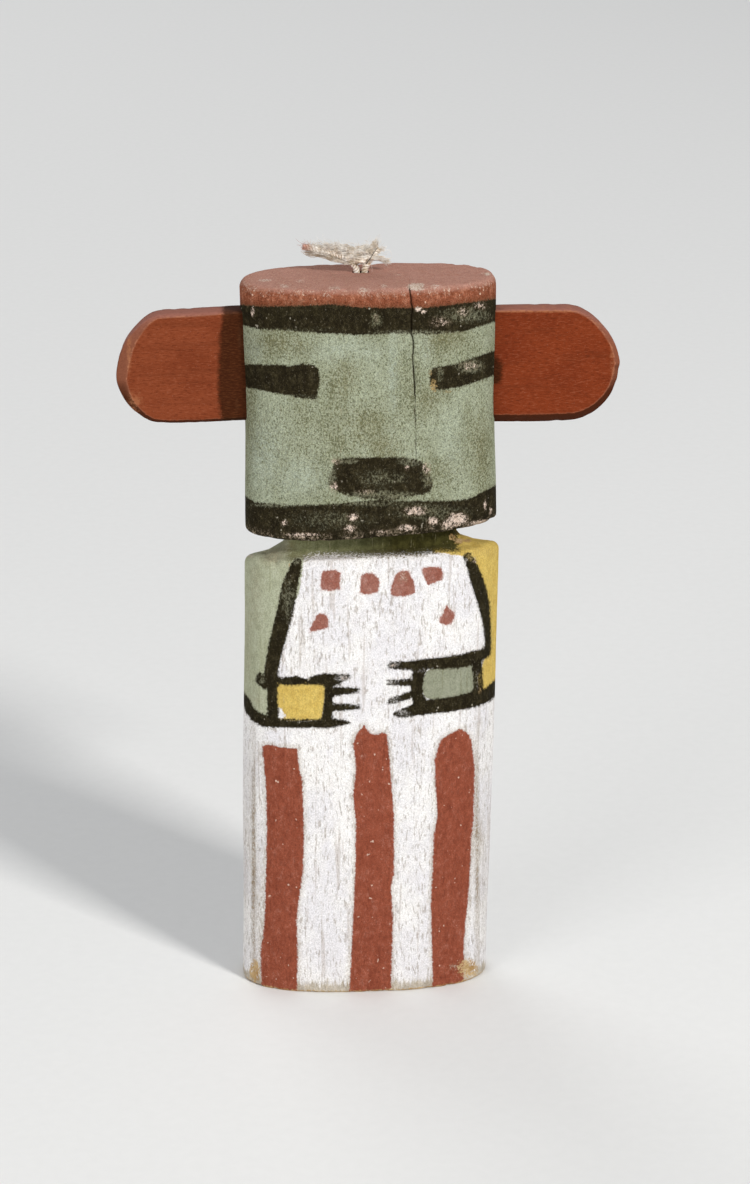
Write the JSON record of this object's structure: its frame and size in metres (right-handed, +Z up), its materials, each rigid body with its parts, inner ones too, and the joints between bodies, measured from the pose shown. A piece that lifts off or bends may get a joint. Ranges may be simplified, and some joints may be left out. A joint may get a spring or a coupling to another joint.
{
  "type": "kachina doll",
  "caption": "Carved and painted wooden kachina doll with a flat oval block body, a band-painted mask head, tab ears and a frayed hanging string.",
  "frame": {"origin": "on the ground, under the middle of the box round the doll with its ears", "axes": "+Z up, -Y towards the viewer of the painted front, +X to that viewer's right"},
  "size_m": [0.1178, 0.0254, 0.1864],
  "materials": {
    "painted_wood": "matt mineral paint on bare carved wood: white body with black, red, green and yellow areas, worn at the edges",
    "red_paint": "matt brick red paint on wood with a horizontal grain, rubbed to orange along the edges",
    "cotton_string": "twisted cream cotton with fluffy frayed ends"
  },
  "bodies": {
    "root": {"figure": "painted_wood", "left_ear": "red_paint", "right_ear": "red_paint", "hanging_string": "cotton_string"}
  },
  "joints": []
}
